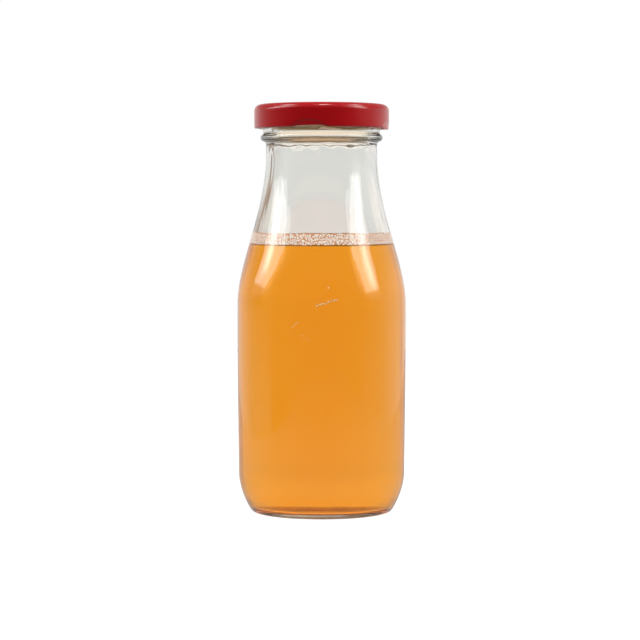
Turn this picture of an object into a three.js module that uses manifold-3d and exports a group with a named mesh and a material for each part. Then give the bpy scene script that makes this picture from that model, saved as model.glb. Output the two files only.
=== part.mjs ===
// A small glass bottle with a wide twist-off mouth, filled with clear juice and closed by a lug cap.
// Millimetres, +Z up. The origin is the centre of the ring that the bottle stands on, and -Y is the front.
import * as THREE from 'three';
import { mergeVertices } from 'three/addons/utils/BufferGeometryUtils.js';
import Module from 'manifold-3d';

const wasm = await Module();
wasm.setup();

const AROUND = 48; // flat sides of every round piece
const GAP = 0.3; // room kept between neighbouring pieces
const QUARTER = Math.PI / 2;

// Glass, outside
const footInner = 21.2; // the bottle stands on the ring between these two radii
const footOuter = 22.9;
const pushUp = 2; // height of the hollow under the base
const hollow = { r: 9, z: 1.8, leave: { r: 15, z: 1.5 }, arrive: { r: 19, z: 0.8 } }; // its curve down to the foot
const heel = { r: 25.38, z: 2.57, leave: { r: 24, z: 0 }, arrive: { r: 24.6, z: 1.1 } };
const bodyFoot = { r: 28.47, z: 13.7, leave: { r: 26.9, z: 5.4 }, arrive: { r: 28.5, z: 9.6 } };
const waist = { r: 28.72, z: 37 };
const body = { r: 28.88, low: 60, high: 71.3 };
const neck = { r: 18.97, z: 123 };
const shoulderRise = 14.3; // how far the shoulder's curve aims up from the body, and down from the neck
const shoulderFall = 19.9;
const bead = { r: 20.9, z: 128.1, half: 1.3 }; // the ring under the cap
const underBead = { r: neck.r + 0.15, z: bead.z - 2.1 };
const overBead = bead.z + 1.7;
const finishRadius = 19.95; // wall of the mouth under the threads
const rimHeight = 137.6;
const rimRound = 1.2;
const rimBevel = 0.9; // on the rim's inner edge

// Glass, inside
const bore = 16.6;
const wall = 2.3; // thickness of the body's wall
const floorEdge = 2.3; // inside floor, at its rim and in its middle
const floorMiddle = 4.6;
const floorCurve = { from: 8, leave: 14, arrive: 16, to: 20.5 }; // radii over which the floor drops to its rim
const corner = { leave: 24.6, inset: 0.3, rise: 3.7 }; // how the floor turns up into the wall
const wallFoot = { inset: 0.25, rise: 9 };
const wallStraight = 45; // from this height the inside wall runs straight up

// Quarter-turn thread: four ridges on the glass and four lugs in the cap, all on one helix
const lead = 16; // rise in one whole turn
const starts = 4;
const firstLug = THREE.MathUtils.degToRad(259);
const threadRadius = 21.3;
const threadRoot = 0.6; // how deep a ridge is rooted in the glass
const threadHeight = 1.3;
const threadFrom = THREE.MathUtils.degToRad(-20);
const threadTo = THREE.MathUtils.degToRad(44);
const threadFade = THREE.MathUtils.degToRad(8);
const lugInner = 20.45;
const lugHeight = 1.1;
const lugSpan = THREE.MathUtils.degToRad(26);

// Cap
const capRadius = 23.05;
const capBottom = 131.1;
const capTop = 139.4;
const capRound = 2.2;
const sheet = 0.3; // lacquered tinplate
const hem = 1.15; // diameter of the rolled edge
const panelRadius = 16.3; // the sunk panel in the middle of the top
const panelDrop = 0.5;
const panelSlope = 1;
const lugBase = capBottom + 0.05 + (lead * lugSpan) / (4 * Math.PI); // its low end is level with the hem

// Seal, juice and froth
const seal = { inner: 17.8, outer: 21.6, thickness: 0.9, bevel: { across: 0.6, down: 0.3 } };
const juiceTop = 91.2;
const froth = { height: 3.7, width: 6, crest: 1.6, crestDrop: 0.4, innerHeight: 1.2 };

const point = (r, z) => new THREE.Vector2(r, z);

// The points of a cubic curve that leaves `from` towards `a` and comes into `to` from `b`
function bend(from, a, b, to, steps) {
  return new THREE.CubicBezierCurve(from, a, b, to).getPoints(steps);
}

// The points of an arc about (r, z), turning from one angle to the other
function arc(r, z, radius, from, to, steps) {
  return new THREE.EllipseCurve(r, z, radius, radius, from, to, to < from).getPoints(steps);
}

function withoutRepeats(points) {
  return points.filter((p, i) => i === 0 || p.distanceTo(points[i - 1]) > 1e-4);
}

// Turns an outline of radii and heights about the Z axis
function revolve(points) {
  return new THREE.LatheGeometry(withoutRepeats(points), AROUND).rotateX(QUARTER);
}

function toSolid(geometry) {
  const bare = geometry.clone();
  bare.deleteAttribute('normal');
  bare.deleteAttribute('uv');
  const merged = mergeVertices(bare, 1e-4);
  const index = Array.from(merged.index.array);
  const faces = [];
  for (let i = 0; i < index.length; i += 3) {
    const [a, b, c] = index.slice(i, i + 3);
    if (a !== b && b !== c && c !== a) faces.push(a, b, c);
  }
  return new wasm.Manifold(new wasm.Mesh({
    numProp: 3,
    vertProperties: new Float32Array(merged.attributes.position.array),
    triVerts: new Uint32Array(faces),
  }));
}

function toGeometry(solid) {
  const mesh = solid.getMesh();
  const geometry = new THREE.BufferGeometry();
  geometry.setAttribute('position', new THREE.BufferAttribute(new Float32Array(mesh.vertProperties), 3));
  geometry.setIndex(new THREE.BufferAttribute(new Uint32Array(mesh.triVerts), 1));
  geometry.computeVertexNormals();
  return geometry;
}

// Lifts every point of a ridge by the helix's rise at its own azimuth
function followHelix(geometry) {
  const places = geometry.attributes.position;
  for (let i = 0; i < places.count; i += 1) {
    const azimuth = Math.atan2(places.getY(i), places.getX(i));
    places.setZ(i, places.getZ(i) + (lead * azimuth) / (2 * Math.PI));
  }
  return geometry;
}

// A ridge that runs round the axis between two radii and two azimuths, with ends that fade over `fade`
function ridge({ inner, outer, from, to, fade, height, base }) {
  const shape = new THREE.Shape();
  shape.moveTo(inner * Math.cos(from), inner * Math.sin(from));
  shape.absarc(0, 0, outer, from + fade, to - fade, false);
  shape.absarc(0, 0, inner, to, from, true);
  const flat = new THREE.ExtrudeGeometry(shape, { depth: height, bevelEnabled: false, curveSegments: 10 });
  return followHelix(flat.translate(0, 0, base));
}

function joinRoundAxis(start, part) {
  let whole = start;
  for (let i = 0; i < starts; i += 1) {
    const turned = part.clone().rotateZ(firstLug + (i * 2 * Math.PI) / starts);
    whole = whole.add(toSolid(turned));
  }
  return toGeometry(whole);
}

// The shoulder's curve: convex over the body, concave into the neck. `drop` lowers it.
function shoulder(bodyRadius, neckRadius, drop, steps) {
  return bend(
    point(bodyRadius, body.high - drop),
    point(bodyRadius, body.high + shoulderRise - drop),
    point(neckRadius, neck.z - shoulderFall - drop),
    point(neckRadius, neck.z - drop),
    steps,
  );
}

const innerBody = body.r - wall;
const innerDrop = 0.8; // the inside curve lies a little lower, so the wall keeps its thickness on the slope
const innerShoulder = shoulder(innerBody, bore, innerDrop, 9);

// The inside radius of the glass at a height on the shoulder
function insideAt(z) {
  const above = innerShoulder.findIndex((p) => p.y > z);
  const [a, b] = [innerShoulder[above - 1], innerShoulder[above]];
  return a.x + ((b.x - a.x) * (z - a.y)) / (b.y - a.y);
}

// A bend from one point to `end`, by the two guide points that `end` names
function bendTo(from, end, steps) {
  return bend(from, point(end.leave.r, end.leave.z), point(end.arrive.r, end.arrive.z), point(end.r, end.z), steps);
}

// The inside of the body from the middle of the floor up to the shoulder, moved inwards by `inset`
function insideLow(inset) {
  const middle = floorMiddle + inset;
  const edge = floorEdge + inset;
  const side = innerBody - inset;
  const turn = point(floorCurve.to, edge);
  return [
    point(0, middle),
    ...bend(
      point(floorCurve.from, middle),
      point(floorCurve.leave, middle),
      point(floorCurve.arrive, edge),
      turn,
      3,
    ),
    ...bend(
      turn,
      point(corner.leave - inset, edge),
      point(side - corner.inset, floorEdge + corner.rise),
      point(side - wallFoot.inset, floorEdge + wallFoot.rise),
      5,
    ),
    point(side, wallStraight),
  ];
}

function bottleOutline() {
  const underside = [
    point(0, pushUp),
    ...bendTo(point(hollow.r, hollow.z), { r: footInner, z: 0, leave: hollow.leave, arrive: hollow.arrive }, 4),
  ];
  const side = [
    ...bendTo(point(footOuter, 0), heel, 3),
    ...bendTo(point(heel.r, heel.z), bodyFoot, 4),
    point(waist.r, waist.z),
    point(body.r, body.low),
    ...shoulder(body.r, neck.r, 0, 11),
  ];
  const mouth = [
    point(underBead.r, underBead.z),
    ...arc(bead.r - bead.half, bead.z, bead.half, -QUARTER, QUARTER, 6),
    point(finishRadius, overBead),
    ...arc(finishRadius - rimRound, rimHeight - rimRound, rimRound, 0, QUARTER, 3),
    point(bore + rimBevel, rimHeight),
    point(bore, rimHeight - rimBevel),
  ];
  const inside = [...[...innerShoulder].reverse(), ...[...insideLow(0)].reverse()];
  return [...underside, ...side, ...mouth, ...inside];
}

function glassBottle() {
  const threads = ridge({
    inner: finishRadius - threadRoot,
    outer: threadRadius,
    from: threadFrom,
    to: threadTo,
    fade: threadFade,
    height: threadHeight,
    base: lugBase + lugHeight + GAP,
  });
  return joinRoundAxis(toSolid(revolve([...bottleOutline(), point(0, pushUp)])), threads);
}

function capShell() {
  const top = capTop;
  const outside = [
    point(0, top - panelDrop),
    point(panelRadius, top - panelDrop),
    point(panelRadius + panelSlope, top),
    ...arc(capRadius - capRound, top - capRound, capRound, QUARTER, 0, 4),
    ...arc(capRadius - hem / 2, capBottom + hem / 2, hem / 2, 0, -3.5 * QUARTER, 8).slice(0, -1),
  ];
  const inside = [
    point(capRadius - sheet, capBottom + hem),
    ...arc(capRadius - capRound, top - capRound, capRound - sheet, 0, QUARTER, 4),
    point(panelRadius + panelSlope, top - sheet),
    point(panelRadius, top - sheet - panelDrop),
    point(0, top - sheet - panelDrop),
  ];
  const lug = ridge({
    inner: lugInner,
    outer: capRadius - sheet / 2,
    from: -lugSpan / 2,
    to: lugSpan / 2,
    fade: 0,
    height: lugHeight,
    base: lugBase,
  });
  return joinRoundAxis(toSolid(revolve([...outside, ...inside, point(0, top - panelDrop)].reverse())), lug);
}

function capSeal() {
  const top = capTop - sheet - GAP;
  const bottom = top - seal.thickness;
  return revolve([
    point(seal.inner, bottom),
    point(seal.outer, bottom),
    point(seal.outer, top - seal.bevel.down),
    point(seal.outer - seal.bevel.across, top),
    point(seal.inner, top),
    point(seal.inner, bottom),
  ]);
}

function juiceBody() {
  const rising = innerShoulder.filter((p) => p.y < juiceTop - GAP);
  return revolve([
    ...insideLow(GAP),
    ...rising.map((p) => point(p.x - GAP, p.y)),
    point(insideAt(juiceTop) - GAP, juiceTop),
    point(0, juiceTop),
  ]);
}

function frothRing() {
  const bottom = juiceTop + GAP;
  const top = bottom + froth.height;
  const outer = insideAt(bottom) - GAP;
  const crest = insideAt(top) - GAP;
  return revolve([
    point(outer - froth.width, bottom),
    point(outer, bottom),
    point(crest, top),
    point(crest - froth.crest, top - froth.crestDrop),
    point(outer - froth.width, bottom + froth.innerHeight),
    point(outer - froth.width, bottom),
  ]);
}

function finish(color, roughness, metalness, opacity = 1) {
  return new THREE.MeshStandardMaterial({ color, roughness, metalness, opacity, transparent: opacity < 1 });
}

function piece(name, geometry, material) {
  const mesh = new THREE.Mesh(geometry, material);
  mesh.name = name;
  return mesh;
}

const bottle = new THREE.Group();
bottle.add(piece('glass_bottle', glassBottle(), finish(0xe6ebe6, 0.05, 0, 0.3)));
bottle.add(piece('cap_shell', capShell(), finish(0xa80f16, 0.25, 0.2)));
bottle.add(piece('cap_seal', capSeal(), finish(0xe8e2d2, 0.6, 0)));
bottle.add(piece('juice', juiceBody(), finish(0xe8951f, 0.05, 0, 0.8)));
bottle.add(piece('froth_ring', frothRing(), finish(0xf2d6b8, 0.5, 0)));

export default bottle;
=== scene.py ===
"""A small glass bottle of clear juice with a red twist-off cap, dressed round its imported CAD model.

Outlines are lists of (radius, height) in millimetres about the bottle's own axis. Meshes are in metres.
"""

import logging
import math
import random
from collections.abc import Callable, Iterable
from dataclasses import dataclass, field
from enum import Enum

import bmesh
import bpy
from mathutils import Matrix, Vector, noise


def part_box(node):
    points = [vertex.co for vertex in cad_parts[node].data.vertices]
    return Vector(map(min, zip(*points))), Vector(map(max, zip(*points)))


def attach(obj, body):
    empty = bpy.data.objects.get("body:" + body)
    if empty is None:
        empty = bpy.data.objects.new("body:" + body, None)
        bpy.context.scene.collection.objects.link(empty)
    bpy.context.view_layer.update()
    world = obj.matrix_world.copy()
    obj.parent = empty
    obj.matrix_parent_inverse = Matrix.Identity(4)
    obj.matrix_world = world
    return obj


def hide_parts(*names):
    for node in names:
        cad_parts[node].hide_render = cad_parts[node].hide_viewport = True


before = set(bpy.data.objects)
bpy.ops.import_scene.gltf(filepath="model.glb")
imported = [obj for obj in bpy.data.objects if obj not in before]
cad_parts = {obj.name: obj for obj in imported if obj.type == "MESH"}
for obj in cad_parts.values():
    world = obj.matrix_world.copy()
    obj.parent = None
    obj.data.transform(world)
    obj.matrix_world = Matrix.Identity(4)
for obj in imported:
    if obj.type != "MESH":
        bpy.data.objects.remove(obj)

log = logging.getLogger("bottle")

Outline = list[tuple[float, float]]
Colour = tuple[float, float, float]
Move = Callable[[float, float, float], tuple[float, float]]

MM = 0.001
FULL_TURN = 2 * math.pi


class Body(Enum):
    """The moving bodies of the frame."""

    BOTTLE = "bottle"
    SEAL = "seal"
    CAP = "cap"


# ---------------------------------------------------------------- outlines


def bend(start: tuple, leave: tuple, arrive: tuple, end: tuple, steps: int) -> Outline:
    """Points of a cubic curve.

    Args:
        start: Where it starts, as (radius, height).
        leave: The point it heads for at first.
        arrive: The point it comes from at last.
        end: Where it ends.
        steps: How many straight steps stand for it.

    Returns:
        The points, both ends among them.
    """
    pulls = (start, leave, arrive, end)
    points = []
    for i in range(steps + 1):
        t = i / steps
        shares = ((1 - t) ** 3, 3 * t * (1 - t) ** 2, 3 * t * t * (1 - t), t**3)
        points.append(tuple(sum(s * p[k] for s, p in zip(shares, pulls)) for k in (0, 1)))
    return points


def arc(centre: tuple, radius: float, first: float, last: float, steps: int) -> Outline:
    """Points of a circular arc.

    Args:
        centre: Its centre, as (radius, height).
        radius: Its radius.
        first: The angle it starts at, in degrees, 0 outwards and 90 upwards.
        last: The angle it ends at.
        steps: How many straight steps stand for it.

    Returns:
        The points, both ends among them.
    """
    angles = [math.radians(first + (last - first) * i / steps) for i in range(steps + 1)]
    return [(centre[0] + radius * math.cos(a), centre[1] + radius * math.sin(a)) for a in angles]


def ladder(radius: float, low: float, high: float, rungs: int) -> Outline:
    """Evenly spaced points up a straight wall, so that it can be pressed into shape later.

    Args:
        radius: The wall's radius.
        low: The height it starts at.
        high: The height it ends at.
        rungs: How many steps it takes.

    Returns:
        The points from low to high.
    """
    return [(radius, low + (high - low) * i / rungs) for i in range(rungs + 1)]


def radius_at(outline: Outline, height: float) -> float:
    """The radius of a rising outline at a height, between its points by straight lines.

    Args:
        outline: The points, from low to high.
        height: The height to look up.

    Returns:
        The radius there, or the nearest end's radius beyond the outline.
    """
    for (r0, z0), (r1, z1) in zip(outline, outline[1:]):
        if z0 <= height <= z1 and z1 > z0:
            return r0 + (r1 - r0) * (height - z0) / (z1 - z0)
    return outline[-1][0] if height > outline[-1][1] else outline[0][0]


def smooth(value: float) -> float:
    """An S-shaped rise from 0 at 0 to 1 at 1, flat beyond both."""
    t = min(max(value, 0.0), 1.0)
    return t * t * (3 - 2 * t)


def turned_from(azimuth: float, centre: float) -> float:
    """The angle from centre to azimuth, between minus and plus half a turn, in radians."""
    return (azimuth - centre + math.pi) % FULL_TURN - math.pi


# ---------------------------------------------------------------- meshes


def revolve(bm: bmesh.types.BMesh, outline: Outline, around: int, slot: int = 0) -> None:
    """Turns an outline about the bottle's axis and adds the surface to bm.

    Args:
        bm: The mesh to add to.
        outline: The points to turn, not closed on itself.
        around: How many sides a full turn has.
        slot: The material index of the new faces.
    """
    before = set(bm.faces)
    verts = [bm.verts.new((r * MM, 0.0, z * MM)) for r, z in outline]
    edges = [bm.edges.new(pair) for pair in zip(verts, verts[1:])]
    bmesh.ops.spin(
        bm,
        geom=verts + edges,
        cent=(0, 0, 0),
        axis=(0, 0, 1),
        dvec=(0, 0, 0),
        angle=FULL_TURN,
        steps=around,
        use_merge=True,
        use_duplicate=False,
    )
    for face in bm.faces:
        if face not in before:
            face.material_index = slot


def close_up(bm: bmesh.types.BMesh) -> None:
    """Welds the seams and poles of a turned shape, and points its faces outwards.

    Args:
        bm: The mesh.
    """
    bmesh.ops.remove_doubles(bm, verts=bm.verts, dist=1e-6)
    bmesh.ops.dissolve_degenerate(bm, edges=bm.edges, dist=1e-7)
    bmesh.ops.recalc_face_normals(bm, faces=bm.faces)


def press(bm: bmesh.types.BMesh, move: Move) -> None:
    """Moves every point of a turned shape by a rule.

    Args:
        bm: The mesh.
        move: Takes a point's radius, azimuth and height, in millimetres and radians, and returns its new
            radius and height.
    """
    for vert in bm.verts:
        x, y, z = vert.co / MM
        radius, azimuth = math.hypot(x, y), math.atan2(y, x)
        if radius < 1e-6:
            continue
        new_radius, new_height = move(radius, azimuth, z)
        vert.co = Vector((new_radius * math.cos(azimuth), new_radius * math.sin(azimuth), new_height)) * MM


def to_object(bm: bmesh.types.BMesh, name: str, materials: Iterable[bpy.types.Material]) -> bpy.types.Object:
    """Makes a smooth object of a finished bmesh, at the origin.

    Args:
        bm: The mesh, which is freed.
        name: The object's name.
        materials: The materials of its slots, in order.

    Returns:
        The new object, linked into the scene.
    """
    mesh = bpy.data.meshes.new(name)
    bm.to_mesh(mesh)
    bm.free()
    mesh.shade_smooth()
    for material in materials:
        mesh.materials.append(material)
    made = bpy.data.objects.new(name, mesh)
    bpy.context.scene.collection.objects.link(made)
    return made


def settle(piece: bpy.types.Object, body: Body, node: str) -> None:
    """Puts a finished piece on its body, in place of its CAD node.

    Args:
        piece: The finished object.
        body: The body that carries it.
        node: The CAD node that it stands for.
    """
    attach(piece, body.value)
    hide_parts(node)


# ---------------------------------------------------------------- shared shader groups


class Groups:
    """Shader node groups that several finishes use, each built once."""

    _made: dict[str, bpy.types.NodeTree] = {}

    @classmethod
    def _new(cls, name: str, inputs: dict[str, float], outputs: Iterable[str]) -> bpy.types.NodeTree:
        """Makes an empty group with a vector input, number inputs and number outputs.

        Args:
            name: The group's name.
            inputs: The number inputs and what each is unless it is set.
            outputs: The names of the number outputs.

        Returns:
            The group, with its input and output nodes in place.
        """
        tree = bpy.data.node_groups.new(name, "ShaderNodeTree")
        tree.interface.new_socket("Vector", in_out="INPUT", socket_type="NodeSocketVector")
        for label, value in inputs.items():
            socket = tree.interface.new_socket(label, in_out="INPUT", socket_type="NodeSocketFloat")
            socket.default_value = value
        for label in outputs:
            tree.interface.new_socket(label, in_out="OUTPUT", socket_type="NodeSocketFloat")
        tree.nodes.new("NodeGroupInput")
        tree.nodes.new("NodeGroupOutput")
        cls._made[name] = tree
        return tree

    @classmethod
    def ripple(cls) -> bpy.types.NodeTree:
        """Long soft waves drawn out along the height, as in blown glass and rolled sheet.

        Returns:
            A group with inputs Vector, Scale and Stretch, and output Height.
        """
        if "soft_ripple" in cls._made:
            return cls._made["soft_ripple"]
        tree = cls._new("soft_ripple", {"Scale": 60.0, "Stretch": 0.25}, ["Height"])
        start, end = tree.nodes["Group Input"], tree.nodes["Group Output"]
        squeeze = tree.nodes.new("ShaderNodeCombineXYZ")
        squeeze.inputs["X"].default_value = 1.0
        squeeze.inputs["Y"].default_value = 1.0
        scaled = tree.nodes.new("ShaderNodeVectorMath")
        scaled.operation = "MULTIPLY"
        waves = tree.nodes.new("ShaderNodeTexNoise")
        waves.inputs["Detail"].default_value = 1.5
        waves.inputs["Roughness"].default_value = 0.45
        tree.links.new(start.outputs["Stretch"], squeeze.inputs["Z"])
        tree.links.new(start.outputs["Vector"], scaled.inputs[0])
        tree.links.new(squeeze.outputs["Vector"], scaled.inputs[1])
        tree.links.new(scaled.outputs["Vector"], waves.inputs["Vector"])
        tree.links.new(start.outputs["Scale"], waves.inputs["Scale"])
        tree.links.new(waves.outputs["Fac"], end.inputs["Height"])
        return tree

    @classmethod
    def wear(cls) -> bpy.types.NodeTree:
        """Hairline scratches and handling marks.

        Returns:
            A group with inputs Vector, Scale and Amount, and outputs Marks, from 0 to Amount, and Haze,
            a slow change from 0 to 1.
        """
        if "handling_wear" in cls._made:
            return cls._made["handling_wear"]
        tree = cls._new("handling_wear", {"Scale": 900.0, "Amount": 0.5}, ["Marks", "Haze"])
        start, end = tree.nodes["Group Input"], tree.nodes["Group Output"]
        bent = tree.nodes.new("ShaderNodeTexNoise")
        bent.inputs["Scale"].default_value = 90.0
        spread = tree.nodes.new("ShaderNodeVectorMath")
        spread.operation = "SCALE"
        spread.inputs["Scale"].default_value = 0.006
        shifted = tree.nodes.new("ShaderNodeVectorMath")
        shifted.operation = "ADD"
        cells = tree.nodes.new("ShaderNodeTexVoronoi")
        cells.feature = "DISTANCE_TO_EDGE"
        lines = tree.nodes.new("ShaderNodeMapRange")
        lines.inputs["From Min"].default_value = 0.0
        lines.inputs["From Max"].default_value = 0.035
        lines.inputs["To Min"].default_value = 1.0
        lines.inputs["To Max"].default_value = 0.0
        patches = tree.nodes.new("ShaderNodeTexNoise")
        patches.inputs["Scale"].default_value = 70.0
        patches.inputs["Detail"].default_value = 4.0
        some = tree.nodes.new("ShaderNodeMapRange")
        some.inputs["From Min"].default_value = 0.52
        some.inputs["From Max"].default_value = 0.68
        both = tree.nodes.new("ShaderNodeMath")
        both.operation = "MULTIPLY"
        marks = tree.nodes.new("ShaderNodeMath")
        marks.operation = "MULTIPLY"
        tree.links.new(start.outputs["Vector"], bent.inputs["Vector"])
        tree.links.new(bent.outputs["Color"], spread.inputs[0])
        tree.links.new(start.outputs["Vector"], shifted.inputs[0])
        tree.links.new(spread.outputs["Vector"], shifted.inputs[1])
        tree.links.new(shifted.outputs["Vector"], cells.inputs["Vector"])
        tree.links.new(start.outputs["Scale"], cells.inputs["Scale"])
        tree.links.new(cells.outputs["Distance"], lines.inputs["Value"])
        tree.links.new(start.outputs["Vector"], patches.inputs["Vector"])
        tree.links.new(patches.outputs["Fac"], some.inputs["Value"])
        tree.links.new(lines.outputs["Result"], both.inputs[0])
        tree.links.new(some.outputs["Result"], both.inputs[1])
        tree.links.new(both.outputs["Value"], marks.inputs[0])
        tree.links.new(start.outputs["Amount"], marks.inputs[1])
        tree.links.new(marks.outputs["Value"], end.inputs["Marks"])
        tree.links.new(patches.outputs["Fac"], end.inputs["Haze"])
        return tree


# ---------------------------------------------------------------- finishes


@dataclass(frozen=True)
class Finish:
    """A material with one Principled shader, and the nodes that most finishes share."""

    name: str
    colour: Colour
    roughness: float = 0.3

    def material(self) -> bpy.types.Material:
        """Builds the material.

        Returns:
            The new material, with this finish's own nodes in it.
        """
        made = bpy.data.materials.new(self.name)
        made.use_nodes = True
        shader = made.node_tree.nodes["Principled BSDF"]
        shader.inputs["Base Color"].default_value = (*self.colour, 1.0)
        shader.inputs["Roughness"].default_value = self.roughness
        self.dress(made.node_tree, shader)
        return made

    def dress(self, tree: bpy.types.NodeTree, shader: bpy.types.Node) -> None:
        """Sets the shader's own values and patterns. The plain finish has none.

        Args:
            tree: The material's nodes.
            shader: The material's Principled shader.
        """

    @staticmethod
    def group(tree: bpy.types.NodeTree, kind: bpy.types.NodeTree, **values: float) -> bpy.types.Node:
        """Places a shared group that reads Object coordinates.

        Args:
            tree: The material's nodes.
            kind: The group.
            **values: Its inputs by name, with underscores for spaces.

        Returns:
            The group's node.
        """
        node = tree.nodes.new("ShaderNodeGroup")
        node.node_tree = kind
        place = tree.nodes.get("Texture Coordinate") or tree.nodes.new("ShaderNodeTexCoord")
        tree.links.new(place.outputs["Object"], node.inputs["Vector"])
        for label, value in values.items():
            node.inputs[label.replace("_", " ")].default_value = value
        return node

    @staticmethod
    def bump(tree: bpy.types.NodeTree, height: bpy.types.NodeSocket, distance: float, shader: bpy.types.Node,
             strength: float = 1.0) -> None:
        """Feeds a height into a shader's normal.

        Args:
            tree: The material's nodes.
            height: The socket that gives the height, from 0 to 1.
            distance: What a height of 1 stands for, in metres.
            shader: The shader.
            strength: How much of the bump shows.
        """
        node = tree.nodes.new("ShaderNodeBump")
        node.inputs["Distance"].default_value = distance
        node.inputs["Strength"].default_value = strength
        tree.links.new(height, node.inputs["Height"])
        tree.links.new(node.outputs["Normal"], shader.inputs["Normal"])

    @staticmethod
    def ranged(tree: bpy.types.NodeTree, value: bpy.types.NodeSocket, low: float, high: float,
               start: float = 0.0, end: float = 1.0) -> bpy.types.NodeSocket:
        """Maps one range of a value onto another.

        Args:
            tree: The material's nodes.
            value: The socket that gives the value.
            low: What start becomes.
            high: What end becomes.
            start: The value's lower end.
            end: The value's upper end.

        Returns:
            The result's socket.
        """
        node = tree.nodes.new("ShaderNodeMapRange")
        node.inputs["From Min"].default_value = start
        node.inputs["From Max"].default_value = end
        node.inputs["To Min"].default_value = low
        node.inputs["To Max"].default_value = high
        tree.links.new(value, node.inputs["Value"])
        return node.outputs["Result"]


@dataclass(frozen=True)
class ClearGlass(Finish):
    """Pressed and blown flint glass: bends light, with soft ripples and faint rubbed marks."""

    ior: float = 1.5
    wave_scale: float = 75.0
    wave_stretch: float = 0.22
    line_scale: float = 420.0
    line_stretch: float = 0.03
    line_share: float = 0.14
    ripple_depth: float = 0.00025
    mark_scale: float = 420.0
    mark_roughness: float = 0.05

    def dress(self, tree: bpy.types.NodeTree, shader: bpy.types.Node) -> None:
        """Adds transmission, ripples in the normal and marks in the roughness.

        Args:
            tree: The material's nodes.
            shader: The material's Principled shader.
        """
        shader.inputs["Transmission Weight"].default_value = 1.0
        shader.inputs["IOR"].default_value = self.ior
        broad = self.group(tree, Groups.ripple(), Scale=self.wave_scale, Stretch=self.wave_stretch)
        long = self.group(tree, Groups.ripple(), Scale=self.line_scale, Stretch=self.line_stretch)
        both = tree.nodes.new("ShaderNodeMath")
        both.operation = "MULTIPLY_ADD"
        both.inputs[1].default_value = self.line_share
        tree.links.new(long.outputs["Height"], both.inputs[0])
        tree.links.new(broad.outputs["Height"], both.inputs[2])
        self.bump(tree, both.outputs["Value"], self.ripple_depth, shader)
        wear = self.group(tree, Groups.wear(), Scale=self.mark_scale, Amount=1.0)
        rough = self.ranged(tree, wear.outputs["Marks"], self.roughness, self.roughness + self.mark_roughness)
        tree.links.new(rough, shader.inputs["Roughness"])


@dataclass(frozen=True)
class ClearJuice(Finish):
    """A clear drink that takes up light by depth, with the least haze."""

    ior: float = 1.33
    taken: Colour = (0.3, 10.0, 74.0)
    clear: float = 0.96

    def dress(self, tree: bpy.types.NodeTree, shader: bpy.types.Node) -> None:
        """Adds transmission and absorption.

        Args:
            tree: The material's nodes.
            shader: The material's Principled shader.
        """
        shader.inputs["Transmission Weight"].default_value = self.clear
        shader.inputs["IOR"].default_value = self.ior
        depth = tree.nodes.new("ShaderNodeVolumeAbsorption")
        most = max(self.taken)
        depth.inputs["Color"].default_value = (*[1 - t / most for t in self.taken], 1.0)
        depth.inputs["Density"].default_value = most
        tree.links.new(depth.outputs["Volume"], tree.nodes["Material Output"].inputs["Volume"])


@dataclass(frozen=True)
class Lacquer(Finish):
    """Stoved enamel on tinplate: deep colour under a clear gloss, with a little orange peel and wear."""

    coat: float = 0.5
    coat_roughness: float = 0.04
    ior: float = 1.3
    peel_scale: float = 420.0
    peel_depth: float = 0.00002
    peel_strength: float = 0.6
    mark_scale: float = 700.0
    mark_roughness: float = 0.25
    dulled: float = 0.82

    def dress(self, tree: bpy.types.NodeTree, shader: bpy.types.Node) -> None:
        """Adds the gloss coat, a slow change of colour, fine peel and handling marks.

        Args:
            tree: The material's nodes.
            shader: The material's Principled shader.
        """
        shader.inputs["Coat Weight"].default_value = self.coat
        shader.inputs["Coat Roughness"].default_value = self.coat_roughness
        shader.inputs["IOR"].default_value = self.ior
        ripple = self.group(tree, Groups.ripple(), Scale=self.peel_scale, Stretch=1.0)
        self.bump(tree, ripple.outputs["Height"], self.peel_depth, shader, strength=self.peel_strength)
        wear = self.group(tree, Groups.wear(), Scale=self.mark_scale, Amount=1.0)
        rough = self.ranged(tree, wear.outputs["Marks"], self.roughness, self.roughness + self.mark_roughness)
        tree.links.new(rough, shader.inputs["Roughness"])
        mix = tree.nodes.new("ShaderNodeMix")
        mix.data_type = "RGBA"
        mix.inputs["A"].default_value = (*self.colour, 1.0)
        mix.inputs["B"].default_value = (*[c * self.dulled for c in self.colour], 1.0)
        tree.links.new(wear.outputs["Haze"], mix.inputs["Factor"])
        tree.links.new(mix.outputs["Result"], shader.inputs["Base Color"])


@dataclass(frozen=True)
class Varnish(Finish):
    """Thin gold varnish over bright tinplate, as inside a cap."""

    metallic: float = 0.85
    grain_scale: float = 260.0
    grain_depth: float = 0.00003
    grain_strength: float = 0.5
    mark_scale: float = 500.0
    smoother: float = 0.08
    rougher: float = 0.12

    def dress(self, tree: bpy.types.NodeTree, shader: bpy.types.Node) -> None:
        """Adds the metal, a rolling grain and marks.

        Args:
            tree: The material's nodes.
            shader: The material's Principled shader.
        """
        shader.inputs["Metallic"].default_value = self.metallic
        ripple = self.group(tree, Groups.ripple(), Scale=self.grain_scale, Stretch=1.0)
        self.bump(tree, ripple.outputs["Height"], self.grain_depth, shader, strength=self.grain_strength)
        wear = self.group(tree, Groups.wear(), Scale=self.mark_scale, Amount=1.0)
        least, most = self.roughness - self.smoother, self.roughness + self.rougher
        rough = self.ranged(tree, wear.outputs["Haze"], least, most)
        tree.links.new(rough, shader.inputs["Roughness"])


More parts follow.
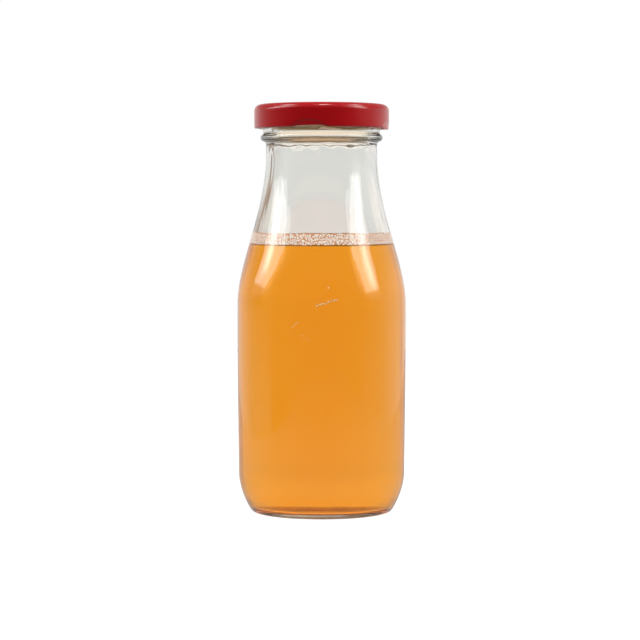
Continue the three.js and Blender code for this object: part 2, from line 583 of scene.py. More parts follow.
@dataclass(frozen=True)
class Compound(Finish):
    """Sealing compound: a soft, slightly uneven plastic."""

    spread: float = 0.15
    spread_depth: float = 0.001
    skin_scale: float = 600.0
    skin_depth: float = 0.00006
    skin_strength: float = 0.7
    varied: float = 0.1

    def dress(self, tree: bpy.types.NodeTree, shader: bpy.types.Node) -> None:
        """Adds an uneven skin and a little spread of light below it.

        Args:
            tree: The material's nodes.
            shader: The material's Principled shader.
        """
        shader.inputs["Subsurface Weight"].default_value = self.spread
        shader.inputs["Subsurface Scale"].default_value = self.spread_depth
        ripple = self.group(tree, Groups.ripple(), Scale=self.skin_scale, Stretch=1.0)
        self.bump(tree, ripple.outputs["Height"], self.skin_depth, shader, strength=self.skin_strength)
        least, most = self.roughness - self.varied, self.roughness + self.varied
        rough = self.ranged(tree, ripple.outputs["Height"], least, most)
        tree.links.new(rough, shader.inputs["Roughness"])


@dataclass(frozen=True)
class Film(Finish):
    """The skin of a bubble: pale where it faces the eye, with a darker rim where it is seen edge on."""

    rim: Colour = (0.7, 0.3, 0.1)
    least: float = 0.5
    most: float = 0.95
    sharp: float = 0.5
    rim_starts: float = 0.5
    rim_full: float = 0.95
    ior: float = 1.33

    def dress(self, tree: bpy.types.NodeTree, shader: bpy.types.Node) -> None:
        """Feeds the edge-on share into the colour and the alpha.

        Args:
            tree: The material's nodes.
            shader: The material's Principled shader.
        """
        facing = tree.nodes.new("ShaderNodeLayerWeight")
        facing.inputs["Blend"].default_value = self.sharp
        alpha = self.ranged(tree, facing.outputs["Facing"], self.least, self.most)
        tree.links.new(alpha, shader.inputs["Alpha"])
        edge = self.ranged(tree, facing.outputs["Facing"], 0.0, 1.0, self.rim_starts, self.rim_full)
        mix = tree.nodes.new("ShaderNodeMix")
        mix.data_type = "RGBA"
        mix.inputs["A"].default_value = (*self.colour, 1.0)
        mix.inputs["B"].default_value = (*self.rim, 1.0)
        tree.links.new(edge, mix.inputs["Factor"])
        tree.links.new(mix.outputs["Result"], shader.inputs["Base Color"])
        shader.inputs["IOR"].default_value = self.ior


CLEAR_GLASS = ClearGlass("clear_glass", (0.985, 0.993, 0.985), 0.0)
JUICE = ClearJuice("juice", (0.98, 0.62, 0.14), 0.12)
RED_LACQUER = Lacquer("red_lacquer", (0.38, 0.0025, 0.005), 0.3)
GOLD_VARNISH = Varnish("gold_varnish", (0.72, 0.60, 0.44), 0.32)
SEAL_COMPOUND = Compound("seal_compound", (0.78, 0.74, 0.66), 0.55)
FROTH_FILM = Film("froth_film", (0.98, 0.94, 0.9), 0.15, rim=(0.62, 0.27, 0.12), least=0.88)
# The froth mass: partly the wet froth's own colour, partly painted shade in the gaps between bubbles and
# along the froth's lower edge.
FROTH_MASS_AND_SHADE = Finish("froth_mass_and_painted_shade", (0.62, 0.3, 0.14), 0.35)
BEAD_FILM = Film("bead_film", (1.0, 0.94, 0.84), 0.1, rim=(0.98, 0.74, 0.46), least=0.95, most=1.0)


# ---------------------------------------------------------------- the bottle


@dataclass
class Thread:
    """The quarter-turn helix that the glass and the cap share, in millimetres and degrees."""

    lead: float = 16.0
    starts: int = 4
    first: float = 259.0
    root: float = 19.95
    crest: float = 21.3
    height: float = 1.3
    begins: float = -20.0
    ends: float = 44.0
    fade: float = 9.0
    lug_inner: float = 20.45
    lug_height: float = 1.1
    lug_span: float = 26.0
    gap: float = 0.3

    def centres(self) -> list[float]:
        """The azimuths of the lugs, in radians."""
        return [math.radians(self.first) + FULL_TURN * i / self.starts for i in range(self.starts)]

    def rise(self, turned: float) -> float:
        """How far the helix climbs over an angle in radians."""
        return self.lead * turned / FULL_TURN

    def lug_base(self, cap_bottom: float) -> float:
        """The height of a lug's underside at its own centre."""
        return cap_bottom + 0.05 + self.rise(math.radians(self.lug_span / 2))

    def ridge(self, azimuth: float, height: float, cap_bottom: float) -> float:
        """How far the glass stands out of its wall at a place.

        Args:
            azimuth: Where, in radians.
            height: Where, in millimetres.
            cap_bottom: The height of the closed cap's lower edge, which the helix is set by.

        Returns:
            From 0 on the bare wall to the thread's depth on a ridge, in millimetres.
        """
        most = 0.0
        middle = self.lug_base(cap_bottom) + self.lug_height + self.gap + self.height / 2
        for centre in self.centres():
            along = turned_from(azimuth, centre)
            across = abs(height - middle - self.rise(along)) / (self.height / 2)
            if across >= 1:
                continue
            degrees = math.degrees(along)
            in_reach = smooth((degrees - self.begins) / self.fade) * smooth((self.ends - degrees) / self.fade)
            most = max(most, in_reach * (self.crest - self.root) * smooth(2.2 * (1 - across)))
        return most


@dataclass
class GlassBottle:
    """The glass: foot, heel, body, shoulder, neck, bead, threads and rim, in millimetres.

    Rise and fall say how far the shoulder's curve aims up from the body and down from the neck. Inside, drop
    lowers the shoulder, which keeps the wall's thickness on the slope.
    """

    thread: Thread
    cap_bottom: float
    radius: float
    rim: float
    around: int = 240
    foot_inner: float = 21.2
    foot_outer: float = 22.9
    push_up: float = 2.0
    heel: tuple[float, float] = (25.38, 2.57)
    body_foot: tuple[float, float] = (28.47, 13.7)
    body_low: float = 60.0
    body_high: float = 71.3
    neck: float = 18.97
    neck_top: float = 123.0
    shoulder_rise: float = 14.3
    shoulder_fall: float = 19.9
    shoulder_drop: float = 0.8
    bead: float = 20.9
    bead_height: float = 128.1
    bead_half: float = 1.3
    rim_round: float = 1.2
    rim_bevel: float = 0.9
    bore: float = 16.6
    wall: float = 2.3
    floor_edge: float = 2.3
    floor_middle: float = 4.6
    uneven: float = 0.16
    streaks: float = 0.05
    chill: float = 0.08
    inside: Outline = field(init=False)

    def __post_init__(self) -> None:
        """Works out the inside outline, which the drink needs too."""
        self.inside = self.inner_outline()

    def shoulder(self, body: float, neck: float, drop: float, steps: int) -> Outline:
        """The shoulder's curve, convex over the body and concave into the neck.

        Args:
            body: The radius it leaves.
            neck: The radius it comes to.
            drop: How far it is lowered, which keeps the wall's thickness on the slope.
            steps: How many straight steps stand for it.

        Returns:
            The points from the body up to the neck.
        """
        low, high = self.body_high - drop, self.neck_top - drop
        leave, arrive = (body, low + self.shoulder_rise), (neck, high - self.shoulder_fall)
        return bend((body, low), leave, arrive, (neck, high), steps)

    def inner_outline(self) -> Outline:
        """The inside of the glass from the middle of its floor up to the rim.

        Returns:
            The points, from low to high.
        """
        inner, edge, middle = self.radius - self.wall, self.floor_edge, self.floor_middle
        floor = [(0.0, middle), (4.0, middle), *bend((8, middle), (14, middle), (16, edge), (20.5, edge), 10)]
        corner = bend((20.5, edge), (24.6, edge), (inner - 0.3, edge + 3.7), (inner - 0.25, edge + 9), 16)
        body = bend((inner - 0.25, edge + 9), (inner - 0.2, 24), (inner, 32), (inner, 45), 8)
        shoulder = self.shoulder(inner, self.bore, self.shoulder_drop, 48)
        neck = ladder(self.bore, self.neck_top - self.shoulder_drop, self.rim - self.rim_bevel, 36)
        return [*floor, *corner[1:], *body[1:], *shoulder, *neck[1:]]

    def outer_outline(self) -> Outline:
        """The outside of the glass from the middle of its underside up to the rim, and over it.

        Returns:
            The points, in that order.
        """
        under = [
            (0.0, self.push_up),
            *bend((9, self.push_up - 0.2), (15, self.push_up - 0.5), (19, 0.8), (self.foot_inner, 0.2), 12),
            (self.foot_inner + 0.35, 0.04),
            (self.foot_inner + 0.8, 0.0),
        ]
        foot = bend((self.foot_outer, 0.0), (24.0, 0.0), (24.6, 1.1), self.heel, 7)
        heel = bend(self.heel, (26.9, 5.4), (28.5, 9.6), self.body_foot, 14)
        wall = bend(self.body_foot, (28.6, 30), (self.radius, 45), (self.radius, self.body_low), 12)
        shoulder = self.shoulder(self.radius, self.neck, 0.0, 56)
        bead = arc((self.bead - self.bead_half, self.bead_height), self.bead_half, -78, 70, 14)
        mouth = ladder(self.thread.root, self.bead_height + 1.75, self.rim - self.rim_round, 36)
        lip = arc((self.thread.root - self.rim_round, self.rim - self.rim_round), self.rim_round, 0, 90, 8)
        bevel = self.rim_bevel
        inner_lip = arc((self.bore + bevel, self.rim - bevel), bevel, 90, 180, 6)
        under_bead = bend(
            (self.neck, self.neck_top + 0.8),
            (self.neck, self.bead_height - 2.2),
            (self.neck + 0.1, self.bead_height - 1.5),
            (self.bead - self.bead_half + 0.1, self.bead_height - 1.35),
            6,
        )
        below = [*under, *foot, *heel[1:], *wall[1:], *shoulder]
        return [*below, *under_bead, *bead, *mouth, *lip[1:], *inner_lip]

    def wander(self, azimuth: float, height: float) -> float:
        """How far the blown inside wall strays at a place.

        Args:
            azimuth: Where, in radians.
            height: Where, in millimetres.

        Returns:
            The wall's offset away from the axis, in millimetres.
        """
        x, y = math.cos(azimuth), math.sin(azimuth)
        broad = self.uneven * noise.noise(Vector((1.7 * x, 1.7 * y, height / 34)))
        long = self.streaks * noise.noise(Vector((8 * x, 8 * y, height / 60 + 40)))
        seam = smooth(1 - abs(height - self.neck_top - 1.5) / 3.5)
        torn = self.chill * seam * noise.noise(Vector((7 * x, 7 * y, height / 1.6 + 80)))
        settled = smooth((self.neck_top + 4 - height) / 8)
        return (broad + long) * settled + torn

    def inner_radius(self, azimuth: float, height: float) -> float:
        """The inside radius at a place above the floor's corner, its unevenness included."""
        return radius_at(self.inside, height) + self.wander(azimuth, height)

    def shape(self, radius: float, azimuth: float, height: float) -> tuple[float, float]:
        """Presses the threads into the mouth and the unevenness into the inside wall.

        Args:
            radius: The point's radius, in millimetres.
            azimuth: Its azimuth, in radians.
            height: Its height, in millimetres.

        Returns:
            Its new radius and height.
        """
        if height > self.bead_height + 1.7 and radius > self.thread.root - 0.05:
            return radius + self.thread.ridge(azimuth, height, self.cap_bottom), height
        above_floor = smooth((height - self.floor_middle - 1) / 6)
        if above_floor > 0 and radius < radius_at(self.inside, height) + 0.5:
            return radius + above_floor * self.wander(azimuth, height), height
        return radius, height

    def build(self) -> bpy.types.Object:
        """Turns the outline, presses its threads and dresses it.

        Returns:
            The finished glass.
        """
        bm = bmesh.new()
        revolve(bm, [*self.outer_outline(), *reversed(self.inside)], self.around)
        close_up(bm)
        press(bm, self.shape)
        piece = to_object(bm, "bottle_glass", [CLEAR_GLASS.material()])
        settle(piece, Body.BOTTLE, "glass_bottle")
        return piece


@dataclass
class Juice:
    """The drink. Its skin cuts a hair into the glass, so that no film of air shows between the two."""

    glass: GlassBottle
    top: float
    around: int = 240
    bite: float = 0.12
    climb: float = 0.4
    curl: float = 2.0

    def outline(self) -> Outline:
        """The drink's outline from the middle of the bottle's floor, up its walls, to its surface.

        Returns:
            The points, both ends on the axis.
        """
        inside = self.glass.inside
        walls = [(r + (self.bite if r > 1 else 0), z - self.bite) for r, z in inside if z < self.top - 1]
        edge = radius_at(inside, self.top + self.climb) + self.bite
        walls.append((radius_at(inside, self.top - 0.3) + self.bite, self.top - 0.3))
        inner = edge - self.curl
        leave, arrive = (edge - 0.4, self.top), (inner + 0.6, self.top)
        surface = bend((edge, self.top + self.climb), leave, arrive, (inner, self.top), 8)
        return [*walls, *surface, (8.0, self.top), (0.0, self.top)]

    def shape(self, radius: float, azimuth: float, height: float) -> tuple[float, float]:
        """Follows the inside wall's unevenness.

        Args:
            radius: The point's radius, in millimetres.
            azimuth: Its azimuth, in radians.
            height: Its height, in millimetres.

        Returns:
            Its new radius and height.
        """
        near_wall = smooth((radius - radius_at(self.glass.inside, height) + 2) / 2)
        above_floor = smooth((height - self.glass.floor_middle - 1) / 6)
        return radius + near_wall * above_floor * self.glass.wander(azimuth, height), height

    def build(self) -> bpy.types.Object:
        """Turns the outline and dresses it.

        Returns:
            The finished drink.
        """
        bm = bmesh.new()
        revolve(bm, self.outline(), self.around)
        close_up(bm)
        press(bm, self.shape)
        piece = to_object(bm, "juice_fill", [JUICE.material()])
        settle(piece, Body.BOTTLE, "juice")
        return piece


@dataclass
class Bubble:
    """One bubble's centre and radius, in millimetres."""

    centre: Vector
    radius: float


def blow(bm: bmesh.types.BMesh, bubbles: list[Bubble]) -> None:
    """Adds many small spheres to a mesh, a batch at a time.

    Args:
        bm: The mesh to add to.
        bubbles: The spheres.
    """
    batch = 40
    for first in range(0, len(bubbles), batch):
        part = bmesh.new()
        for bubble in bubbles[first:first + batch]:
            place = Matrix.Translation(bubble.centre * MM)
            bmesh.ops.create_icosphere(part, subdivisions=2, radius=bubble.radius * MM, matrix=place)
        carrier = bpy.data.meshes.new("batch")
        part.to_mesh(carrier)
        part.free()
        bm.from_mesh(carrier)
        bpy.data.meshes.remove(carrier)


@dataclass
class Froth:
    """The ring of froth on the drink: a wet mass against the glass, coloured darker than the drink as painted
    shade between the bubbles, and the bubbles that stand out of it.
    """

    glass: GlassBottle
    bottom: float
    height: float
    around: int = 240
    seed: int = 7
    tries: int = 14000
    smallest: float = 0.28
    largest: float = 1.0
    crowding: float = 0.74
    press_in: float = 0.25
    mass_in: float = 0.06
    width: float = 2.6
    behind: float = 0.2
    waver: float = 0.16

    def scatter(self) -> list[Bubble]:
        """Throws bubbles at the ring and keeps those that have room.

        Returns:
            The kept bubbles, the larger ones low down and most of them against the glass.
        """
        draw = random.Random(self.seed)
        kept: list[Bubble] = []
        cells: dict[tuple[int, int, int], list[Bubble]] = {}
        cell = 2 * self.largest
        for attempt in range(self.tries):
            azimuth = draw.uniform(0, FULL_TURN)
            up = draw.random()
            shrink = 1 - 0.85 * attempt / self.tries
            size = self.smallest + (self.largest - self.smallest) * shrink * (1 - 0.35 * up) * draw.random()
            height = self.bottom + size * 0.75 + up * (self.height - 1.6 * size)
            back = self.width * (1 - up) if draw.random() < self.behind else 0.0
            radius = self.glass.inner_radius(azimuth, height) - size + self.press_in - back
            centre = Vector((radius * math.cos(azimuth), radius * math.sin(azimuth), height))
            home = tuple(int(c // cell) for c in centre)
            near = (
                other
                for i in (-1, 0, 1)
                for j in (-1, 0, 1)
                for k in (-1, 0, 1)
                for other in cells.get((home[0] + i, home[1] + j, home[2] + k), ())
            )
            if all((other.centre - centre).length > self.crowding * (other.radius + size) for other in near):
                bubble = Bubble(centre, size)
                kept.append(bubble)
                cells.setdefault(home, []).append(bubble)
        return kept

    def mass(self) -> Outline:
        """The section of the wet mass, thick at the drink and thin at its top, its ends meeting.

        Returns:
            The points, the face on the glass first.
        """
        low, high = self.bottom - 0.1, self.bottom + self.height
        steps = 8
        rungs = [low + (high - low) * i / steps for i in range(steps + 1)]
        face = [(radius_at(self.glass.inside, z) + self.mass_in, z) for z in rungs]
        crest, back_foot = face[-1][0], face[0][0] - self.width
        leave, arrive = (crest - 0.5, high - 1), (back_foot, low + 1.2)
        back = bend((crest - 0.3, high), leave, arrive, (back_foot, low), 6)
        return [*face, *back, face[0]]

    def shape(self, radius: float, azimuth: float, height: float) -> tuple[float, float]:
        """Follows the inside wall's unevenness, and lets the mass end in a wavering line.

        Args:
            radius: The point's radius, in millimetres.
            azimuth: Its azimuth, in radians.
            height: Its height, in millimetres.

        Returns:
            Its new radius and height.
        """
        up = smooth((height - self.bottom - 1) / (self.height - 1))
        wave = noise.noise(Vector((11 * math.cos(azimuth), 11 * math.sin(azimuth), 5.0)))
        lifted = height + up * self.waver * wave
        slope = radius_at(self.glass.inside, lifted) - radius_at(self.glass.inside, height)
        return radius + slope + self.glass.wander(azimuth, lifted), lifted

    def build(self) -> bpy.types.Object:
        """Makes the mass and its bubbles.

        Returns:
            The finished froth.
        """
        bubbles = self.scatter()
        log.info("froth: %d bubbles", len(bubbles))
        bm = bmesh.new()
        revolve(bm, self.mass(), self.around, slot=1)
        close_up(bm)
        press(bm, self.shape)
        blow(bm, bubbles)
        piece = to_object(bm, "froth_bubbles", [FROTH_FILM.material(), FROTH_MASS_AND_SHADE.material()])
        settle(piece, Body.BOTTLE, "froth_ring")
        return piece


@dataclass(frozen=True)
class Train:
    """A line of tiny bubbles between two places on the inside wall, in degrees from the front and mm."""

    start: tuple[float, float]
    end: tuple[float, float]
    count: int
    size: float


@dataclass
class WallBubbles:
    """The few bubbles that cling to the glass below the froth."""

    glass: GlassBottle
    press_in: float = 0.25
    seed: int = 3
    trains: tuple[Train, ...] = (
        Train((-21.0, 64.5), (-17.0, 66.0), 5, 0.16),
        Train((-3.0, 71.7), (10.5, 73.7), 8, 0.3),
        Train((4.8, 77.4), (5.0, 77.5), 1, 0.26),
        Train((-57.0, 79.4), (-50.0, 79.0), 4, 0.21),
        Train((-14.0, 62.0), (-9.0, 60.5), 3, 0.12),
    )

    def build(self) -> bpy.types.Object:
        """Makes the bubbles.

        Returns:
            The finished bubbles.
        """
        draw = random.Random(self.seed)
        bubbles = []
        for train in self.trains:
            for i in range(train.count):
                share = (i + draw.uniform(-0.3, 0.3)) / max(train.count - 1, 1)
                angle = train.start[0] + share * (train.end[0] - train.start[0])
                height = train.start[1] + share * (train.end[1] - train.start[1]) + draw.uniform(-0.2, 0.2)
                azimuth = math.radians(angle - 90)
                size = train.size * draw.uniform(0.6, 1.2)
                radius = self.glass.inner_radius(azimuth, height) + self.press_in - size
                centre = Vector((radius * math.cos(azimuth), radius * math.sin(azimuth), height))
                bubbles.append(Bubble(centre, size))
        bm = bmesh.new()
        blow(bm, bubbles)
        piece = to_object(bm, "wall_bubbles", [BEAD_FILM.material()])
        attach(piece, Body.BOTTLE.value)
        return piece


# ---------------------------------------------------------------- the cap


@dataclass
class CapShell:
    """The drawn tinplate cap: panel, corner, skirt, rolled hem and lugs, in millimetres."""

    thread: Thread
    radius: float
    bottom: float
    top: float
    around: int = 288
    sheet: float = 0.3
    corner: float = 2.2
    hem: float = 1.15
    panel: float = 16.3
    panel_drop: float = 0.5
    panel_slope: float = 1.0
    dent: float = 0.25
    dent_height: float = 2.7
    lug_edges: tuple[float, ...] = (0.35, -0.6, 0.25, 0.1)

    def outside(self) -> Outline:
        """The lacquered face from the middle of the panel to the underside of the hem.

        Returns:
            The points, in that order.
        """
        top, corner, half = self.top, self.corner, self.hem / 2
        return [
            (0.0, top - self.panel_drop),
            (8.0, top - self.panel_drop),
            *bend(
                (self.panel - 0.4, top - self.panel_drop),
                (self.panel + 0.1, top - self.panel_drop),
                (self.panel + 0.5, top),
                (self.panel + self.panel_slope + 0.3, top),
                8,
            ),
            (self.radius - corner - 1.2, top),
            *arc((self.radius - corner, top - corner), corner, 90, 0, 12),
            *reversed(ladder(self.radius, self.bottom + self.hem + 0.1, top - corner - 0.3, 22)),
            *arc((self.radius - half, self.bottom + half), half, 0, -100, 10),
        ]

    def inside(self) -> Outline:
        """The varnished face from the underside of the hem to the middle of the panel.

        Returns:
            The points, in that order.
        """
        top, corner, half = self.top - self.sheet, self.corner, self.hem / 2
        inner = self.radius - self.sheet
        return [
            *arc((self.radius - half, self.bottom + half), half, -100, -300, 14),
            *ladder(inner, self.bottom + self.hem + 0.15, top - corner, 20),
            *arc((self.radius - corner, self.top - corner), corner - self.sheet, 0, 90, 8)[1:],
            *bend(
                (self.panel + self.panel_slope + 0.3, top),
                (self.panel + 0.5, top),
                (self.panel + 0.1, top - self.panel_drop),
                (self.panel - 0.4, top - self.panel_drop),
                8,
            ),
            (8.0, top - self.panel_drop),
            (0.0, top - self.panel_drop),
        ]

    def shape(self, radius: float, azimuth: float, height: float) -> tuple[float, float]:
        """Presses the lugs in from the hem, and dents the skirt above them a little.

        Args:
            radius: The point's radius, in millimetres.
            azimuth: Its azimuth, in radians.
            height: Its height, in millimetres.

        Returns:
            Its new radius and height.
        """
        over_hem = self.bottom + self.hem
        if radius < self.radius - self.hem - 0.3 or height > over_hem + self.dent_height:
            return radius, height
        half = math.radians(self.thread.lug_span / 2)
        outward = smooth((radius - self.radius + self.hem) / self.hem)
        for centre, edge in zip(self.thread.centres(), self.lug_edges):
            along = turned_from(azimuth, centre)
            across = smooth((half * 1.3 - abs(along)) / (half * 0.5))
            if across <= 0:
                continue
            above = max(height - self.bottom, 0.0) / self.dent_height
            dent = self.dent * smooth((1 - math.hypot(along / (half * 1.3), above)) / 0.35)
            if height <= over_hem + 0.05:
                reach = (self.radius - self.hem - self.thread.lug_inner) * (1 - outward)
                lift = (0.05 + self.thread.rise(along + half)) * (1 - outward) + edge * outward
                return radius - across * reach - dent * outward, height + across * lift
            return radius - dent, height
        return radius, height

    def build(self) -> bpy.types.Object:
        """Turns both faces, presses the lugs and dresses them.

        Returns:
            The finished cap.
        """
        bm = bmesh.new()
        revolve(bm, self.outside(), self.around)
        revolve(bm, self.inside(), self.around, slot=1)
        close_up(bm)
        press(bm, self.shape)
        piece = to_object(bm, "cap_tinplate", [RED_LACQUER.material(), GOLD_VARNISH.material()])
        settle(piece, Body.CAP, "cap_shell")
        return piece


@dataclass
class CapSeal:
    """The ring of sealing compound in the cap's channel, hollowed where the rim presses it."""

    low: float
    high: float
    inner: float
    outer: float
    around: int = 144
    groove: float = 0.16

    def outline(self) -> Outline:
        """The ring's closed section, its ends meeting.

        Returns:
            The points, the underside first.
        """
        inner, outer, low, high = self.inner, self.outer, self.low, self.high
        return [
            (inner + 0.2, low),
            *bend((inner + 0.25, low), (inner + 0.5, low + self.groove), (outer - 1.6, low + self.groove),
                  (outer - 0.9, low), 8),
            *arc((outer - 0.35, low + 0.35), 0.35, -90, 0, 5),
            *arc((outer - 0.6, high - 0.5), 0.5, 0, 90, 5),
            *arc((inner + 0.3, high - 0.3), 0.3, 90, 180, 5),
            (inner, low + 0.2),
            (inner + 0.2, low),
        ]

    def build(self) -> bpy.types.Object:
        """Turns the section and dresses it.

        Returns:
            The finished seal.
        """
        bm = bmesh.new()
        revolve(bm, self.outline(), self.around)
        close_up(bm)
        piece = to_object(bm, "seal_ring", [SEAL_COMPOUND.material()])
        settle(piece, Body.SEAL, "cap_seal")
        return piece


# ---------------------------------------------------------------- the studio


@dataclass(frozen=True)
class Patch:
    """An evenly bright part of the room, in degrees.

    Azimuth 0 is straight behind the bottle and -90 to its left.
    Lean moves it sideways and flare widens it, each in degrees for every degree above its middle.
    """

    azimuth: float
    elevation: float
    half_width: float
    half_height: float
    soft: float
    colour: Colour
    lean: float = 0.0
    flare: float = 0.0


class RoomNodes:
    """Small helpers that place nodes in the world's tree."""

    def __init__(self, tree: bpy.types.NodeTree) -> None:
        """Keeps the tree and adds the direction that every part of the room is looked up by.

        Args:
            tree: The world's nodes.
        """
        self.tree = tree
        place = tree.nodes.new("ShaderNodeTexCoord")
        split = tree.nodes.new("ShaderNodeSeparateXYZ")
        tree.links.new(place.outputs["Generated"], split.inputs["Vector"])
        self.x, self.y, self.z = split.outputs
        self.azimuth = self.math("ARCTAN2", self.x, self.y)
        self.elevation = self.math("ARCSINE", self.z)

    def math(self, operation: str, *values: bpy.types.NodeSocket | float) -> bpy.types.NodeSocket:
        """Adds a Math node.

        Args:
            operation: What it does, in the node's own word.
            *values: Its inputs, as sockets or numbers.

        Returns:
            The result's socket.
        """
        node = self.tree.nodes.new("ShaderNodeMath")
        node.operation = operation
        for socket, value in zip(node.inputs, values):
            if isinstance(value, bpy.types.NodeSocket):
                self.tree.links.new(value, socket)
            else:
                socket.default_value = value
        return node.outputs["Value"]

    def rise(self, value: bpy.types.NodeSocket, start: float, end: float, low: float = 0.0,
             high: float = 1.0) -> bpy.types.NodeSocket:
        """Maps one range of a value onto another with an S-shaped step, flat beyond both ends.

        Args:
            value: The socket that gives the value.
            start: Where the step starts.
            end: Where it ends.
            low: The result at its start.
            high: The result at its end.

        Returns:
            The result's socket.
        """
        node = self.tree.nodes.new("ShaderNodeMapRange")
        node.interpolation_type = "SMOOTHSTEP"
        for label, number in (("From Min", start), ("From Max", end), ("To Min", low), ("To Max", high)):
            node.inputs[label].default_value = number
        self.tree.links.new(value, node.inputs["Value"])
        return node.outputs["Result"]

    def mix(self, factor: bpy.types.NodeSocket, first: bpy.types.NodeSocket | Colour,
            second: bpy.types.NodeSocket | Colour) -> bpy.types.NodeSocket:
        """Mixes two colours.

        Args:
            factor: The second colour's share.
            first: The first colour, or a socket that gives it.
            second: The second colour, or a socket that gives it.

        Returns:
            The result's socket.
        """
        node = self.tree.nodes.new("ShaderNodeMix")
        node.data_type = "RGBA"
        self.tree.links.new(factor, node.inputs["Factor"])
        for label, value in (("A", first), ("B", second)):
            if isinstance(value, bpy.types.NodeSocket):
                self.tree.links.new(value, node.inputs[label])
            else:
                node.inputs[label].default_value = (*value, 1.0)
        return node.outputs["Result"]

    def patch(self, below: bpy.types.NodeSocket, patch: Patch) -> bpy.types.NodeSocket:
        """Lays a patch over a colour.

        Args:
            below: The colour's socket.
            patch: The patch.

        Returns:
            The result's socket.
        """
        raised = self.math("SUBTRACT", self.elevation, math.radians(patch.elevation))
        leant = self.math("MULTIPLY_ADD", raised, -patch.lean, self.azimuth)
        turned = self.math("SUBTRACT", leant, math.radians(patch.azimuth))
        aside = self.math("ABSOLUTE", self.math("WRAP", turned, math.pi, -math.pi))
        flared = self.math("MULTIPLY_ADD", raised, -patch.flare, aside)
        soft = math.radians(patch.soft)
        width, height = math.radians(patch.half_width), math.radians(patch.half_height)
        across = self.rise(flared, width - soft, width + soft, 1.0, 0.0)
        up = self.rise(self.math("ABSOLUTE", raised), height - soft, height + soft, 1.0, 0.0)
        return self.mix(self.math("MULTIPLY", across, up), below, patch.colour)


@dataclass(frozen=True)
class Lamp:
    """A soft area lamp that lights surfaces but isn't mirrored in them. Azimuth as in Patch."""

    name: str
    azimuth: float
    elevation: float
    width: float
    height: float
    watts: float
    distance: float = 1.0

    def build(self) -> None:
        """Hangs the lamp, turned to the bottle's middle."""
        data = bpy.data.lights.new(self.name, "AREA")
        data.shape = "RECTANGLE"
        data.size, data.size_y = self.width, self.height
        data.energy = self.watts
        made = bpy.data.objects.new(self.name, data)
        azimuth, elevation = math.radians(self.azimuth), math.radians(self.elevation)
        away = Vector((
            math.sin(azimuth) * math.cos(elevation),
            math.cos(azimuth) * math.cos(elevation),
            math.sin(elevation),
        ))
        made.location = Vector((0, 0, 0.09)) + away * self.distance
        made.rotation_mode = "QUATERNION"
        made.rotation_quaternion = away.to_track_quat("Z", "Y")
        made.visible_camera = False
        made.visible_glossy = False
        made.visible_transmission = False
        bpy.context.scene.collection.objects.link(made)


